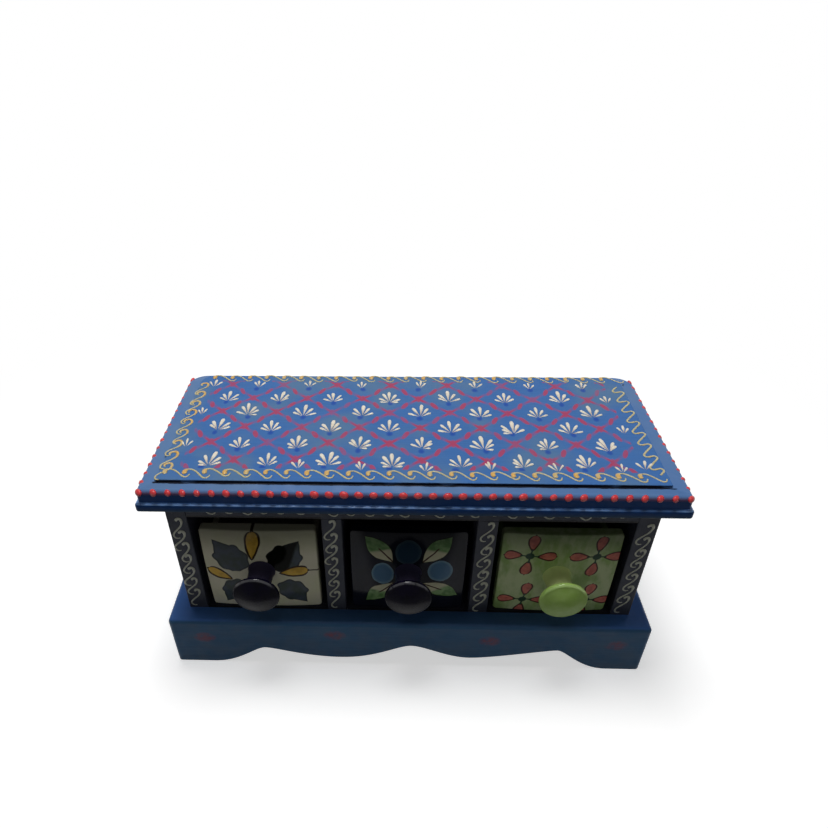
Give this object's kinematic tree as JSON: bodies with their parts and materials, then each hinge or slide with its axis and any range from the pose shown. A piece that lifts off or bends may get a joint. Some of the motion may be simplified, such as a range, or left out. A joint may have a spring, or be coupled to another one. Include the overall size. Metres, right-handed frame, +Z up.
{
  "type": "mini chest of drawers",
  "caption": "Tabletop chest: a painted wooden case with a moulded lid and a scalloped skirt, and a row of ceramic drawers with flared ceramic knobs.",
  "frame": {"origin": "on the table, in the middle of the overall footprint, knobs included", "axes": "+X to the right along the length, -Y out of the front, the way the drawers open, +Z up"},
  "size_m": [0.306, 0.1464, 0.1481],
  "materials": {
    "lid_paint": "bright blue enamel on wood, satin, with raised and brushed ornament",
    "case_paint": "dark slate enamel on wood, satin, with a cream scroll",
    "back_paint": "plain blue enamel on thin board",
    "skirt_paint": "deep blue enamel on wood, satin, brushed",
    "glaze_left": "cream gloss glaze with slate leaves and ochre buds",
    "glaze_middle": "black-navy gloss glaze with green and cream leaves",
    "glaze_right": "mottled light green gloss glaze with coral blossoms",
    "glaze_knob_navy": "dark navy gloss glaze",
    "glaze_knob_green": "lime green gloss glaze",
    "steel": "zinc-plated"
  },
  "bodies": {
    "case": {"lid": "lid_paint", "side_panel_left": "case_paint", "side_panel_right": "case_paint", "divider_left": "case_paint", "divider_right": "case_paint", "top_rail": "case_paint", "floor_board": "case_paint", "back_panel": "back_paint", "apron_front": "skirt_paint", "apron_back": "skirt_paint", "apron_left": "skirt_paint", "apron_right": "skirt_paint", "lid_nails": "steel", "floor_nails": "steel", "back_nails": "steel", "apron_nails": "steel"},
    "drawer_left": {"drawer_left": "glaze_left", "knob_left": "glaze_knob_navy", "knob_stud_left": "steel", "knob_washer_left": "steel", "knob_nut_left": "steel"},
    "drawer_middle": {"drawer_middle": "glaze_middle", "knob_middle": "glaze_knob_navy", "knob_stud_middle": "steel", "knob_washer_middle": "steel", "knob_nut_middle": "steel"},
    "drawer_right": {"drawer_right": "glaze_right", "knob_right": "glaze_knob_green", "knob_stud_right": "steel", "knob_washer_right": "steel", "knob_nut_right": "steel"}
  },
  "joints": [
    {"name": "drawer_left_slide", "type": "slide", "parent": "case", "child": "drawer_left", "axis": [0, -1, 0], "range_m": [0, 0.08]},
    {"name": "drawer_middle_slide", "type": "slide", "parent": "case", "child": "drawer_middle", "axis": [0, -1, 0], "range_m": [0, 0.08]},
    {"name": "drawer_right_slide", "type": "slide", "parent": "case", "child": "drawer_right", "axis": [0, -1, 0], "range_m": [0, 0.08]}
  ]
}
